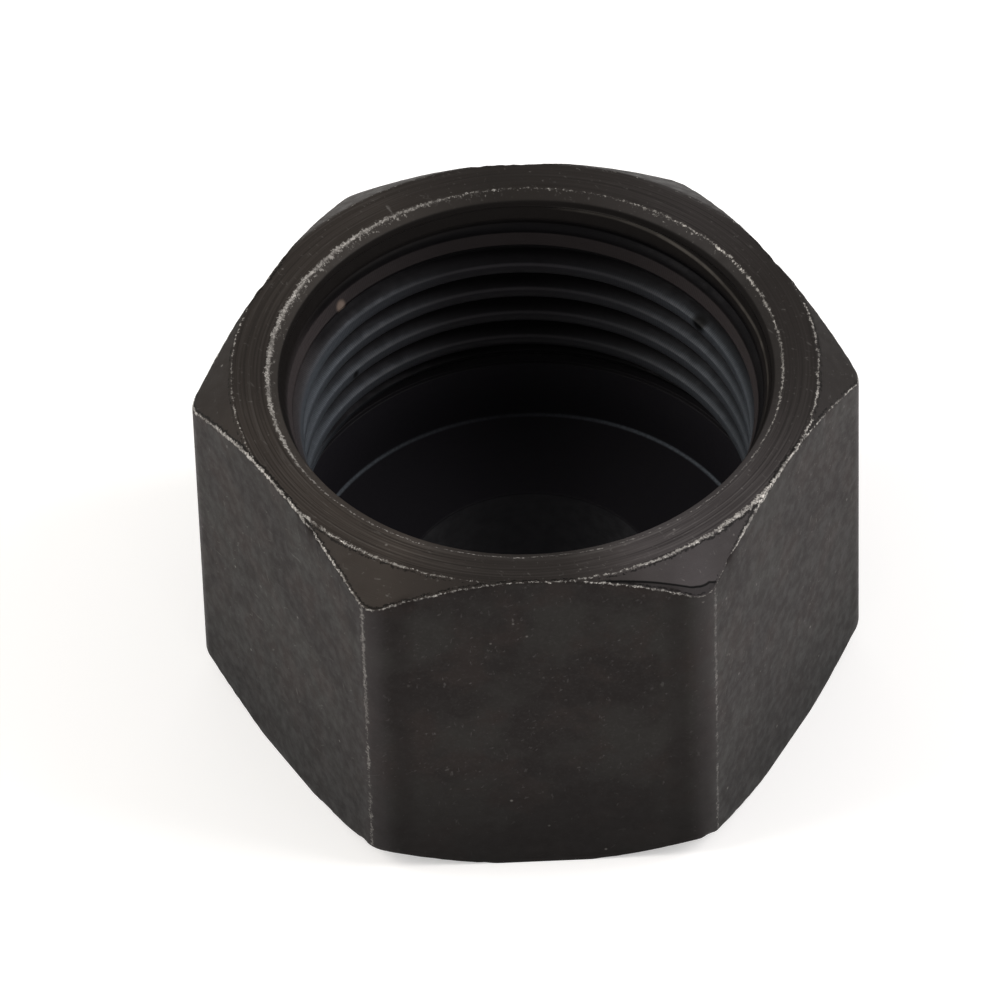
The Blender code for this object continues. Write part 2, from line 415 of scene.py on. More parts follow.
def strip_shares():
    """Rows across one pitch: on each turn of the outline, close beside it, and between."""
    near = [t + d for t in TURNS_AT for d in (-EDGE_SHARE, 0, EDGE_SHARE)]
    even = [0, 0.16, 0.255, 0.5, 0.745, 0.84, 1]
    return np.sort(np.array(near + even))


def from_crest(height, angle, crest_height):
    """Distance up or down to the middle of the nearest crest, which climbs one pitch a turn."""
    middle = crest_height + PITCH * angle / (2 * math.pi)
    return np.abs((height - middle + PITCH / 2) % PITCH - PITCH / 2)


def cut_wall(height, angle, crest_height):
    """Radius of the threaded wall: flat crests, flanks at 30 degrees, flat roots; or the bore."""
    off = from_crest(height, angle, crest_height)
    groove = np.clip((off - CREST_HALF) * FLANK_SLOPE, 0, THREAD_RADIUS - MINOR_RADIUS)
    return np.maximum(plain_bore(height, angle), MINOR_RADIUS + groove)


def thread_strip():
    """Radius, angle and height of the strip's vertices, and whether each is on a crest or a groove.

    The strip's upper edge is the middle of the root. Its height is top - pitch * (turn - 1), held
    between the top and foot rings; its lower edge is the same line one turn later, so the strip has
    no width where it starts and ends. It winds clockwise as it goes down.
    """
    drop = THREAD_BLOCK_TOP - THREAD_BLOCK_FOOT
    steps = math.ceil((1 + drop / PITCH) * BORE_COLUMNS) + 1
    turn = np.arange(steps) / BORE_COLUMNS
    upper = THREAD_BLOCK_TOP - np.clip((turn - 1) * PITCH, 0, drop)
    lower = THREAD_BLOCK_TOP - np.clip(turn * PITCH, 0, drop)
    share = strip_shares()
    height = upper[:, None] * (1 - share) + lower[:, None] * share
    # The start column puts a crest's middle as near as a column allows to its measured height.
    root = THREAD_BLOCK_TOP + PITCH / 2 - (HEIGHT + CREST_AT_FRONT)
    start = round(root / PITCH * BORE_COLUMNS) % BORE_COLUMNS
    column = (start - np.arange(steps)) % BORE_COLUMNS
    angle = bore_angle[column][:, None] + 0 * height
    crest_height = THREAD_BLOCK_TOP + PITCH / 2 - PITCH * bore_angle[start] / (2 * math.pi)
    shifts = np.linspace(-1, 1, THREAD_SHIFTS) * EDGE_SHARE * PITCH
    radius = sum(cut_wall(height + s, angle, crest_height) for s in shifts) / len(shifts)
    threaded = np.clip((THREAD_RADIUS - plain_bore(height, angle)) / THREAD_FULL, 0, 1)
    beside = from_crest(height, angle, crest_height) - CREST_HALF - CREST_MARGIN
    off = np.clip(beside / CREST_FADE, 0, 1)
    return radius, angle, height, threaded * (1 - off), threaded * off


strip_radius, strip_angle, strip_height, strip_crest, strip_groove = thread_strip()
print("thread strip", strip_height.shape)

# %% [markdown]
# ## Joining the two surfaces
# The outside is a grid that closes round the nut, the thread is a strip that closes on itself. Both
# end on the same two rings of vertices, so writing them into one list and merging equal positions
# gives one closed skin. Where the columns double, each cell of the coarse row meets two of the fine
# row with three triangles.

# %% One closed mesh
# Rows past those beside a corner where the columns double, and decimals of a millimetre that merge
ROWS_ON = 3
MERGE_DECIMALS = 5


def quads(number, closed):
    """Two triangles for every cell of a grid of vertex numbers."""
    beside = np.roll(number, -1, axis=1) if closed else number[:, 1:]
    here = number if closed else number[:, :-1]
    a, b, c, d = here[:-1], here[1:], beside[1:], beside[:-1]
    return np.vstack([np.stack(t, axis=-1).reshape(-1, 3) for t in ((a, b, c), (a, c, d))])


def stitch(coarse, fine, coarse_first):
    """Three triangles between one cell of a coarse ring and the two cells of the fine ring below.

    Where the fine ring comes first on the path, every triangle is turned over.
    """
    after = np.roll(coarse, -1)
    start, middle, end = fine[::2], fine[1::2], np.roll(fine[::2], -1)
    three = (coarse, start, middle), (coarse, middle, after), (after, middle, end)
    triangles = np.vstack([np.stack(t, axis=-1) for t in three])
    return triangles if coarse_first else triangles[:, ::-1]


def to_points(radius, angle, height):
    """Cylinder coordinates in millimetres to points in metres."""
    points = np.stack([radius * np.cos(angle), radius * np.sin(angle), height], axis=-1)
    return points.reshape(-1, 3) * MM


def merged(points, triangles):
    """Number equal points once, drop triangles that collapse, and say which points are used."""
    index, inverse = np.unique(np.round(points / MM, MERGE_DECIMALS), axis=0,
                               return_index=True, return_inverse=True)[1:]
    a, b, c = inverse.reshape(-1)[triangles].T
    kept = np.stack([a, b, c], axis=-1)[(a != b) & (b != c) & (c != a)]
    used, renumbered = np.unique(kept, return_inverse=True)
    return index[used], renumbered.reshape(-1, 3)


number = np.arange(place.size).reshape(place.shape)
widen = corner_rows[RIM_EDGE] + len(NEAR_SHARP) + ROWS_ON
narrow = corner_rows[NOSE_EDGE] + len(NEAR_SHARP) + ROWS_ON
skin_triangles = [
    quads(number[:widen + 1, ::2], True),
    stitch(number[widen, ::2], number[widen + 1], True),
    quads(number[widen + 1:narrow + 1], True),
    stitch(number[narrow + 1, ::2], number[narrow], False),
    quads(number[narrow + 1:, ::2], True),
]
strip_number = place.size + np.arange(strip_height.size).reshape(strip_height.shape)
points = np.vstack([to_points(skin_radius, skin_angle, skin_height),
                    to_points(strip_radius, strip_angle, strip_height)])
# The hexagon's flat number 0 faces -Y, so every angle is turned back by a quarter turn.
points = points[:, [1, 0, 2]] * np.array([1, -1, 1])
index, triangles = merged(points, np.vstack(skin_triangles + [quads(strip_number, False)]))

p0, p1, p2 = (points[index][triangles[:, k]] for k in range(3))
volume = float(np.einsum("ij,ij->i", p0, np.cross(p1, p2)).sum() / 6 / MM ** 3)
edges = np.sort(np.vstack([triangles[:, pair] for pair in ([0, 1], [1, 2], [2, 0])]), axis=1)
shared = np.unique(edges, axis=0, return_counts=True)[1]
print(len(triangles), "triangles; volume", round(volume), "mm3; edges not shared by two faces:",
      int((shared != 2).sum()))

# %% Mesh object


def new_mesh_object(name, points, triangles):
    """A smooth-shaded object at the origin with the given points and triangles."""
    mesh = bpy.data.meshes.new(name)
    mesh.vertices.add(len(points))
    mesh.vertices.foreach_set("co", points.astype(np.float32).ravel())
    mesh.loops.add(len(triangles) * 3)
    mesh.loops.foreach_set("vertex_index", triangles.astype(np.int32).ravel())
    mesh.polygons.add(len(triangles))
    mesh.polygons.foreach_set("loop_start", np.arange(0, len(triangles) * 3, 3, dtype=np.int32))
    mesh.update(calc_edges=True)
    mesh.shade_smooth()
    obj = bpy.data.objects.new(name, mesh)
    bpy.context.scene.collection.objects.link(obj)
    return obj


nut = new_mesh_object("nut_skin", points[index], triangles)
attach(nut, "root")
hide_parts("collet_nut")
print("skin", nut.name, len(nut.data.vertices), "vertices")

# %% [markdown]
# ## Telling the finish where it is
# A material cannot know which edge it is near. So each vertex carries a few numbers for it: its
# distance from each worn edge in millimetres, how much that edge is worn there, how much painted
# highlight, sheen and shade it gets, and what kind of surface it lies on. A distance is a smooth
# value, so a line drawn from it stays sharp between two vertices.

# %% Numbers for the finish
FAR = 2.0
# Pairs of degrees and amount for each kind of wear, and for the painted highlight, sheen and shade
WEAR_AND_LIGHT = {
    "rim_wear": [(-90, 0.42), (-60, 0.36), (-25, 0.50), (0, 0.72), (20, 0.66), (45, 0.58),
                 (62, 0.50), (80, 0.35), (95, 0.42), (110, 0.72), (150, 0.90), (175, 1.0),
                 (200, 0.85), (215, 0.50), (235, 0.46)],
    "band_wear": [(-90, 0.0), (-40, 0.05), (0, 0.25), (25, 0.35), (45, 0.65), (60, 0.55),
                  (75, 0.35), (95, 0.35), (105, 0.60), (125, 0.95), (155, 1.0), (175, 0.8),
                  (195, 0.45), (210, 0.12), (230, 0.0)],
    "face_wear": [(-97, 0.35), (-75, 0.55), (-60, 0.80), (-42, 1.0), (-30, 1.0), (-18, 0.62),
                  (10, 0.62), (22, 0.36), (40, 0.25), (100, 0.22), (150, 0.25), (165, 0.52),
                  (190, 0.50), (205, 0.35), (215, 0.55), (223, 0.70), (240, 0.70), (248, 0.55),
                  (256, 0.35)],
    "arc_wear": [(-96, 0.55), (-80, 0.55), (-66, 0.70), (-58, 0.42), (-52, 0.45), (-47, 0.95),
                 (-30, 1.0), (-18, 0.55), (-3, 0.55), (40, 0.45), (120, 0.5), (180, 0.85),
                 (210, 1.0), (222, 0.8), (240, 0.75), (248, 0.6)],
    "step_light_and_shade": [(-30, 0.0), (0, 0.5), (15, 0.9), (60, 1.0), (72, 0.6), (82, 0.0), (180, 0.0)],
    "painted_highlight": [(-165, 0.38), (-140, 0.52), (-118, 0.60), (-100, 0.16), (-84, 0.14), (-72, 0.70),
             (-58, 1.0), (-46, 0.70), (-25, 0.38), (-5, 0.10), (25, 0.06), (50, 0.30), (75, 0.08),
             (95, 0.0), (120, 0.25), (150, 0.24), (180, 0.20)],
    "sheen": [(-60, 0.25), (-20, 0.5), (10, 0.58), (35, 0.42), (60, 0.12), (85, 0.01), (108, 0.02),
              (135, 0.28), (160, 0.80), (190, 0.90), (215, 0.5), (250, 0.3)],
    "seat_shine": [(-90, 0.0), (-10, 0.2), (25, 0.9), (60, 0.8), (75, 0.35), (95, 0.12),
                   (120, 0.35), (145, 0.9), (200, 1.0), (225, 0.2)],
}
CORNER_WEAR = [(-60, 0.72), (-30, 0.5), (0, 0.5), (60, 0.5), (120, 0.5), (180, 0.5), (210, 0.6),
               (240, 0.80), (270, 0.6)]
# A corner's worn line is weaker towards the foot: its share there, where it starts to grow and over
# what height, in millimetres
FOOT_LEAST, FADE_FROM, FADE_OVER = 0.80, 8, 8
# How far beside the middle of a corner its worn line runs, in millimetres
CORNER_LINE = [(-80, 0.0), (-75, 0.55), (-45, 0.55), (-40, 0.0), (215, 0.0), (225, -0.32),
               (255, -0.32), (260, 0.0)]
# Left of the right front corner a burr lies pressed flat on the chamfer: how wide, in millimetres
BURR_WIDTH = [(-80, 0.0), (-76, 0.10), (-68, 0.34), (-61, 0.50), (-58.5, 0.40), (-57, 0.0)]
EASE = 0.1


def on_rows(first_edge, last_edge):
    """1 on the path between two of its corners and 0 elsewhere, eased over a short way."""
    after = np.clip((place - stations[first_edge]) / EASE + 0.5, 0, 1)
    before = np.clip((stations[last_edge] - place) / EASE + 0.5, 0, 1)
    return np.minimum(after, before)


def finish_values():
    """One array a name: the values on the skin, then the values on the thread strip."""
    corner_side = (skin_angle % (math.pi / 3) - math.pi / 6) * skin_radius
    from_line = np.abs(corner_side - round_the_nut(skin_angle, CORNER_LINE))
    rise = np.clip((skin_height - FADE_FROM) / FADE_OVER, 0, 1)
    fade = FOOT_LEAST + (1 - FOOT_LEAST) * rise
    edges = {"from_rim": RIM_EDGE, "from_face": FACE_EDGE, "from_arc": ARC_EDGE,
             "from_seat": SEAT_EDGE}
    skin = {name: np.clip(place - stations[edge], -FAR, FAR) for name, edge in edges.items()} | {
        "from_corner": np.minimum(np.abs(corner_side), FAR),
        "from_line": np.minimum(from_line, FAR),
        "from_step": np.clip(skin_height - step_foot(skin_angle), -FAR, FAR),
        "corner_wear": round_the_nut(skin_angle, CORNER_WEAR) * fade,
        "wall": on_rows(ARC_EDGE, LOW_ARC_EDGE),
        "mouth": on_rows(RIM_EDGE, FACE_EDGE),
        "band": on_rows(LEAD_EDGE, RIM_EDGE),
        "inner": 1 - on_rows(LEAD_EDGE, HOLE_EDGE),
        "crest": 0, "groove": 0,
    }
    strip = {
        "from_rim": -FAR, "from_face": -FAR, "from_arc": -FAR, "from_corner": FAR, "from_line": FAR,
        "from_seat": FAR, "from_step": np.clip(strip_height - step_foot(strip_angle), -FAR, FAR),
        "corner_wear": 0, "wall": 0, "mouth": 0, "band": 0, "inner": 1, "crest": strip_crest,
        "groove": strip_groove,
    }
    for name, pairs in list(WEAR_AND_LIGHT.items()) + [("burr", BURR_WIDTH)]:
        skin[name] = round_the_nut(skin_angle, pairs)
        strip[name] = round_the_nut(strip_angle, pairs)
    return {name: np.concatenate([(skin[name] + 0 * place).ravel(),
                                  (strip[name] + 0 * strip_height).ravel()]) for name in skin}


for name, values in finish_values().items():
    layer = nut.data.attributes.new(name, "FLOAT", "POINT")
    layer.data.foreach_set("value", values[index].astype(np.float32))
print(len(nut.data.attributes), "attributes on", nut.name)

# %% [markdown]
# ## Node helpers
# The finish is painted by nodes that read the position on the part. A few short helpers keep the
# recipe readable: each adds one node and returns its output.

# %% Node helpers


class Recipe:
    """A material's node tree with short names for the nodes that the finish uses."""

    def __init__(self, name):
        self.material = bpy.data.materials.new(name)
        self.material.use_nodes = True
        self.tree = self.material.node_tree
        self.shader = self.tree.nodes["Principled BSDF"]
        self.output = self.tree.nodes["Material Output"]
        self.place = self.tree.nodes.new("ShaderNodeTexCoord").outputs["Object"]

    def put(self, socket, value):
        """Link an output to a socket, or set the socket to a plain value."""
        if isinstance(value, bpy.types.NodeSocket):
            self.tree.links.new(value, socket)
        else:
            socket.default_value = value

    def maths(self, operation, first, second=0.0, *rest):
        """One Math node; with more than two values it is repeated along them."""
        node = self.tree.nodes.new("ShaderNodeMath")
        node.operation = operation
        self.put(node.inputs[0], first)
        self.put(node.inputs[1], second)
        return self.maths(operation, node.outputs[0], *rest) if rest else node.outputs[0]

    def times(self, *values):
        """The product of the values."""
        return self.maths("MULTIPLY", *values)

    def plus(self, *values):
        """The sum of the values."""
        return self.maths("ADD", *values)

    def less(self, first, second):
        """The first value less the second."""
        return self.maths("SUBTRACT", first, second)

    def most(self, *values):
        """The greatest of the values."""
        return self.maths("MAXIMUM", *values)

    def vector(self, operation, first, second=None, scale=None):
        """One Vector Math node."""
        node = self.tree.nodes.new("ShaderNodeVectorMath")
        node.operation = operation
        self.put(node.inputs[0], first)
        if second is not None:
            self.put(node.inputs[1], second)
        if scale is not None:
            self.put(node.inputs["Scale"], scale)
        return node.outputs["Value"] if operation == "LENGTH" else node.outputs["Vector"]

    def combined(self, x=0.0, y=0.0, z=0.0):
        """A vector from three numbers."""
        node = self.tree.nodes.new("ShaderNodeCombineXYZ")
        for socket, value in zip(node.inputs, (x, y, z)):
            self.put(socket, value)
        return node.outputs["Vector"]

    def span(self, value, low, high, to_low=0.0, to_high=1.0):
        """Smooth step from to_low to to_high as the value goes from low to high."""
        node = self.tree.nodes.new("ShaderNodeMapRange")
        node.interpolation_type = "SMOOTHSTEP"
        for name, number in zip(("Value", "From Min", "From Max", "To Min", "To Max"),
                                (value, low, high, to_low, to_high)):
            self.put(node.inputs[name], number)
        return node.outputs["Result"]

    def close_to(self, distance, near, far):
        """1 where a distance of either sign is below near, down to 0 where it is above far."""
        return self.span(self.maths("ABSOLUTE", distance), near, far, 1.0, 0.0)

    def moved(self, x, y, z):
        """The position moved by so many metres, so that two noises of one scale differ."""
        return self.vector("ADD", self.place, (x, y, z))

    def drawn_out(self, turn, lengths):
        """The position for a noise whose features are turned and then drawn out along the axes."""
        node = self.tree.nodes.new("ShaderNodeMapping")
        node.vector_type = "TEXTURE"
        self.put(node.inputs["Vector"], self.place)
        node.inputs["Rotation"].default_value = turn
        node.inputs["Scale"].default_value = lengths
        return node.outputs["Vector"]

    def noise(self, scale, detail=3.0, roughness=0.55, place=None):
        """Noise about 0.5 with so many features a metre, or a unit of its own place."""
        node = self.tree.nodes.new("ShaderNodeTexNoise")
        self.put(node.inputs["Vector"], place or self.place)
        node.inputs["Scale"].default_value = scale
        node.inputs["Detail"].default_value = detail
        node.inputs["Roughness"].default_value = roughness
        return node.outputs["Fac"]

    def cells(self, scale):
        """Distance to the nearest of scattered points, so many a metre."""
        node = self.tree.nodes.new("ShaderNodeTexVoronoi")
        self.put(node.inputs["Vector"], self.place)
        node.inputs["Scale"].default_value = scale
        return node.outputs["Distance"]

    def stored(self, name):
        """A number that the mesh carries under this name."""
        node = self.tree.nodes.new("ShaderNodeAttribute")
        node.attribute_name = name
        return node.outputs["Fac"]

    def mixed(self, factor, first, second):
        """Colour that goes from first to second with the factor."""
        node = self.tree.nodes.new("ShaderNodeMix")
        node.data_type = "RGBA"
        self.put(node.inputs["Factor"], factor)
        self.put(node.inputs["A"], first)
        self.put(node.inputs["B"], second)
        return node.outputs["Result"]

    def bumps(self, height, depth_mm):
        """A normal that follows a height from 0 to 1, so many millimetres deep."""
        node = self.tree.nodes.new("ShaderNodeBump")
        node.inputs["Strength"].default_value = 1.0
        node.inputs["Distance"].default_value = depth_mm * MM
        self.put(node.inputs["Height"], height)
        return node.outputs["Normal"]


PER_MM = 1 / MM
print("helpers ready")

# %% [markdown]
# ## Black finish
# Hot blackening turns the steel's own surface into a thin dark oxide. It keeps every tool mark
# under it: rings from the lathe on the turned faces, faint slanting scratches on the flats of the
# bar. The oxide is never one even black. It is warm and brownish on the flats. A painted highlight
# makes the flats on the right a little cooler, and the chamfers and turned faces paler where they
# face the lamps, warm on the left and cool on the right. A span in these cells says where a value
# starts and stops to count and, where they aren't 0 and 1, the amounts there.

# %% Oxide on the outside
FLAT_BLACK = (0.0130, 0.0104, 0.0098, 1.0)
FLAT_BROWN = (0.0215, 0.0162, 0.0146, 1.0)
FLAT_GREY = (0.0220, 0.0202, 0.0186, 1.0)
FACE_BLACK = (0.0155, 0.0133, 0.0120, 1.0)
HIGHLIGHT_WARM = (0.0560, 0.0460, 0.0390, 1.0)
HIGHLIGHT_AND_RUB_COOL = (0.0600, 0.0540, 0.0560, 1.0)
# A noise is given by its features a metre, its detail and its roughness
CLOUDS = (0.26 * PER_MM, 4.0, 0.55)
STAINS = (0.50 * PER_MM, 4.0, 0.58)
GRAIN = (7.0 * PER_MM, 3.0, 0.60)
CLOUD_SPAN = (0.38, 0.60)
STAIN_SPAN = (0.46, 0.66, 0.0, 0.8)
RIGHT_HIGHLIGHT_SPAN = (7.6 * MM, 9.0 * MM, 0.0, 0.12)
WARM_TO_COOL = (-8 * MM, 8 * MM)
HIGHLIGHT_SPAN = (0.35, 0.60, 1.0, 0.75)

black = Recipe("black_oxide")
split = black.tree.nodes.new("ShaderNodeSeparateXYZ")
black.put(split.inputs["Vector"], black.place)
x, y, z = (split.outputs[axis] for axis in "XYZ")
wall, mouth, inner = (black.stored(name) for name in ("wall", "mouth", "inner"))
outer_turned = black.less(1.0, black.most(wall, inner))
outside = black.span(inner, 1.0, 0.0)

clouds = black.noise(*CLOUDS)
stains = black.noise(*STAINS, black.moved(0.05, 0.02, 0.01))
grain = black.noise(*GRAIN)
flat_colour = black.mixed(black.span(clouds, *CLOUD_SPAN), FLAT_GREY, FLAT_BLACK)
flat_colour = black.mixed(black.span(stains, *STAIN_SPAN), flat_colour, FLAT_BROWN)
# Painted highlight: the right flats take a little of its cool colour, and the turned faces outside
# are lifted where they face the lamps.
flat_colour = black.mixed(black.span(x, *RIGHT_HIGHLIGHT_SPAN), flat_colour, HIGHLIGHT_AND_RUB_COOL)
highlight_colour = black.mixed(black.span(x, *WARM_TO_COOL), HIGHLIGHT_WARM, HIGHLIGHT_AND_RUB_COOL)
highlight_share = black.times(black.stored("painted_highlight"), outer_turned, black.span(clouds, *HIGHLIGHT_SPAN))
colour = black.mixed(wall, FACE_BLACK, flat_colour)
colour = black.mixed(highlight_share, colour, highlight_colour)
print("oxide on the outside mixed")

# %% [markdown]
# ## Oxide in the bore
# The lead-in is brown and the thread black. The pocket under it gets painted light, so it is a
# little lighter. The thread's crests are grey, the first one brown. Painted shade darkens its
# grooves, less at the sides, where a painted sheen lights the flanks.

# %% Oxide in the bore
LEAD_BROWN = (0.0090, 0.0078, 0.0074, 1.0)
BORE_BLACK = (0.0110, 0.0104, 0.0120, 1.0)
CREST_BROWN = (0.0150, 0.0128, 0.0132, 1.0)
CREST_GREY = (0.0120, 0.0112, 0.0128, 1.0)
GROOVE_SHADE_BLACK = (0.0038, 0.0036, 0.0042, 1.0)
POCKET_LIT_BLACK = (0.0150, 0.0141, 0.0172, 1.0)
LEAD_SPAN = ((HEIGHT - 3.2) * MM, (HEIGHT - 1.6) * MM)
POCKET_SPAN = ((LEDGE - 0.1) * MM, LEDGE * MM)
FIRST_CREST_SPAN = ((HEIGHT - 3.4) * MM, (HEIGHT - 2.9) * MM)
CREST_SPAN = (0.62, 0.95)
FLANK_SPAN = (0.50, 1.0, 0.0, 0.65)

bore_colour = black.mixed(black.span(z, *LEAD_SPAN), BORE_BLACK, LEAD_BROWN)
# Painted light: the pocket, seat and hole below the ledge are made lighter.
bore_colour = black.mixed(black.span(z, *POCKET_SPAN), POCKET_LIT_BLACK, bore_colour)
first_crest = black.span(z, *FIRST_CREST_SPAN)
crest, groove = black.stored("crest"), black.stored("groove")
crest_top = black.span(crest, *CREST_SPAN)
crest_colour = black.mixed(first_crest, CREST_GREY, CREST_BROWN)
bore_colour = black.mixed(crest_top, bore_colour, crest_colour)
# Painted shade in the grooves, held back on the crests and where the flanks have a painted sheen.
flank_sheen = black.times(groove, black.span(black.stored("sheen"), *FLANK_SPAN))
unshaded = black.plus(crest_top, flank_sheen)
groove_shade = black.most(black.less(black.plus(crest, groove), unshaded), 0.0)
bore_colour = black.mixed(groove_shade, bore_colour, GROOVE_SHADE_BLACK)
colour = black.mixed(inner, colour, bore_colour)
print("oxide in the bore mixed")

# %% [markdown]
# ## Tool marks
# Rings run round the axis, so their pattern needs a place that counts from the axis outwards. The
# place here is a point on a unit circle, which keeps the pattern the same from one degree to the
# next without a seam, plus a count that grows outwards and downwards. Scratches on the flats lean
# forward as they go down, on the left flat and on the right one alike.

# %% Rings and scratches
RING_SPACING = 0.085
RING_NOISE = (1.0, 2.0, 0.6)
LONG_BREAKS, SHORT_BREAKS = 1.5, 9.0
SCRATCH_LEAN = math.radians(22)
SCRATCHES = (4.5 * PER_MM, 4.0, 0.7)
SCRATCH_LENGTH = 6.0
# Hair scratches: features a metre, turn, length, and from which noise they show and are full
HAIRS = [
    (4.0 * PER_MM, (-SCRATCH_LEAN, 0.0, 0.0), 14.0, 0.65, 0.76),
    (4.2 * PER_MM, (0.5, 0.9, 0.0), 18.0, 0.65, 0.75),
    (3.6 * PER_MM, (1.35, 0.2, 0.6), 20.0, 0.66, 0.77),
]
HAIR_DETAIL, HAIR_ROUGHNESS = 2.5, 0.65
TICKS_A_TURN = 620.0

across = black.combined(x, y)
circle = black.vector("NORMALIZE", across)
outward = black.less(black.vector("LENGTH", across), z)
ring_count = black.combined(z=black.times(outward, PER_MM / RING_SPACING))


def rings(breaks):
    """Noise in rings round the axis, broken about so many times a radian."""
    ring_place = black.vector("ADD", black.vector("SCALE", circle, scale=breaks), ring_count)
    return black.noise(*RING_NOISE, ring_place)


def hairs(scale, turn, length, low, high):
    """1 on sparse fine lines: the highest peaks of a noise that is drawn out one way."""
    drawn = black.drawn_out(turn, (1.0, 1.0, length))
    return black.span(black.noise(scale, HAIR_DETAIL, HAIR_ROUGHNESS, drawn), low, high)


arcs, short_rings = rings(LONG_BREAKS), rings(SHORT_BREAKS)
turned = black.less(1.0, wall)
scratch_place = black.drawn_out((-SCRATCH_LEAN, 0.0, 0.0), (1.0, 1.0, SCRATCH_LENGTH))
scratches = black.noise(*SCRATCHES, scratch_place)
hair = black.most(*(hairs(*kind) for kind in HAIRS))
ticks = black.maths("SINE", black.times(black.maths("ARCTAN2", y, x), TICKS_A_TURN))
print("tool marks ready")

# %% [markdown]
# ## Wear
# The oxide wears through first on the edges. A worn edge is a thin broken line that wanders a
# little to either side, so the line is drawn where the distance from the edge, shifted by a slow
# noise, is smaller than a width that a quick noise keeps changing. Beside the worn lines runs
# painted shadow, as dark gaps where the lifted burr would cast it.

# %% Worn lines
WANDER = 0.14
SLOW = (1.4 * PER_MM, 4.0, 0.65)
BEADS = (5.5 * PER_MM, 3.0, 0.75)
STRETCHES = (0.7 * PER_MM, 2.0, 0.5)
SPARKLE = (10.0 * PER_MM, 2.0, 0.6)
SPARKLE_SPAN = (0.40, 0.58, 0.30, 1.0)
STRETCH_SPAN = (0.38, 0.60, 0.45, 1.0)
BEAD_GAIN, BEAD_START, WEAR_GAIN = 5.0, 1.60, 1.9
LINE_SPAN = (-0.35, 0.35, 1.0, 0.0)
# Distance and wear by name, width and shift in millimetres, and how bare the line is
EDGE_LINES = [
    ("from_rim", "rim_wear", 0.105, -0.05, 0.75),
    ("from_face", "face_wear", 0.100, 0.0, 0.85),
    ("from_arc", "arc_wear", 0.100, 0.0, 0.85),
]
BURR_SHADOW_LINES = [("from_arc", "arc_wear", 0.10, -0.14), ("from_face", "face_wear", 0.09, 0.14)]
CORNER_WIDTH, CORNER_SHARE = 0.120, 0.30

slow = black.noise(*SLOW)
beads = black.noise(*BEADS)
stretches = black.noise(*STRETCHES, black.moved(0.03, 0.0, 0.0))
sparkle = black.times(black.span(black.noise(*SPARKLE), *SPARKLE_SPAN),
                      black.span(stretches, *STRETCH_SPAN))
wander = black.times(black.less(slow, 0.5), 2 * WANDER)
bead_loss = black.less(black.times(beads, BEAD_GAIN), BEAD_START)


def worn_line(distance, wear, width, side=0.0):
    """1 on a broken line: |distance + wander - side| / width < wear gain * wear - bead loss."""
    off = black.maths("ABSOLUTE", black.less(black.plus(black.stored(distance), wander), side))
    strong = black.less(black.times(black.stored(wear), WEAR_GAIN), bead_loss)
    return black.span(black.less(black.times(off, 1 / width), strong), *LINE_SPAN)


edge_lines = [black.times(worn_line(*line), bare) for *line, bare in EDGE_LINES]
corner_line = black.times(worn_line("from_line", "corner_wear", CORNER_WIDTH), wall, CORNER_SHARE)
lines = black.times(black.most(*edge_lines, corner_line), sparkle)
# Painted shadow of the lifted burr, just beside the worn arc and face edges.
burr_shadows = black.most(*(worn_line(*line) for line in BURR_SHADOW_LINES))
print(len(EDGE_LINES) + 1, "worn lines ready")

# %% [markdown]
# ## Bright grains and specks
# The rim, where shanks and collets rub in and out, is worn over its whole chamfer as bright grains:
# more of them where it is more worn, and towards the rim. A few specks lie on the outside.

# %% Grains and specks
TOWARDS_RIM = (-0.62, -0.08, 0.25, 1.0)
GRAIN_LIMIT, GRAIN_GAIN = 0.70, 0.23
RIM_GRAIN_SPAN = (0.0, 0.14)
BAND_SPAN = (0.0, 0.25)
SPECKS_A_METRE = 1.1 * PER_MM
SPECK_SPAN = (0.11, 0.04)
SPECK_PICK = (0.5 * PER_MM, 3.0, 0.6)
PICK_SPAN = (0.54, 0.62)
GRAIN_SHARE, SPECK_SHARE = 0.40, 0.20

band_wear = black.times(black.stored("band"), black.stored("band_wear"))
near_rim = black.times(band_wear, black.span(black.stored("from_rim"), *TOWARDS_RIM))
grain_limit = black.less(GRAIN_LIMIT, black.times(near_rim, GRAIN_GAIN))
rim_grains = black.times(black.span(black.less(beads, grain_limit), *RIM_GRAIN_SPAN),
                         black.span(band_wear, *BAND_SPAN))
speck_pick = black.noise(*SPECK_PICK, black.moved(0.0, 0.07, 0.0))
specks = black.times(black.span(black.cells(SPECKS_A_METRE), *SPECK_SPAN),
                     black.span(speck_pick, *PICK_SPAN), outside)
bright = black.most(lines, black.times(rim_grains, GRAIN_SHARE), black.times(specks, SPECK_SHARE))
print("bright places ready")

# %% [markdown]
# ## Rubbed marks and ring highlights
# Between bare metal and whole oxide lie the rubbed marks: hair scratches, the worn band at the rim
# and the grain of the flats. They lift the colour a little without baring the steel. The rings on
# the mouth face are partly rubbed and partly painted highlight on their tops, with painted shade in
# the hollows between them; both are strongest where the face faces the lamps.

# %% Rubbed marks and ring highlights
RUBBED_AND_HIGHLIGHT = (1.0, 0.97, 0.93, 1.0)
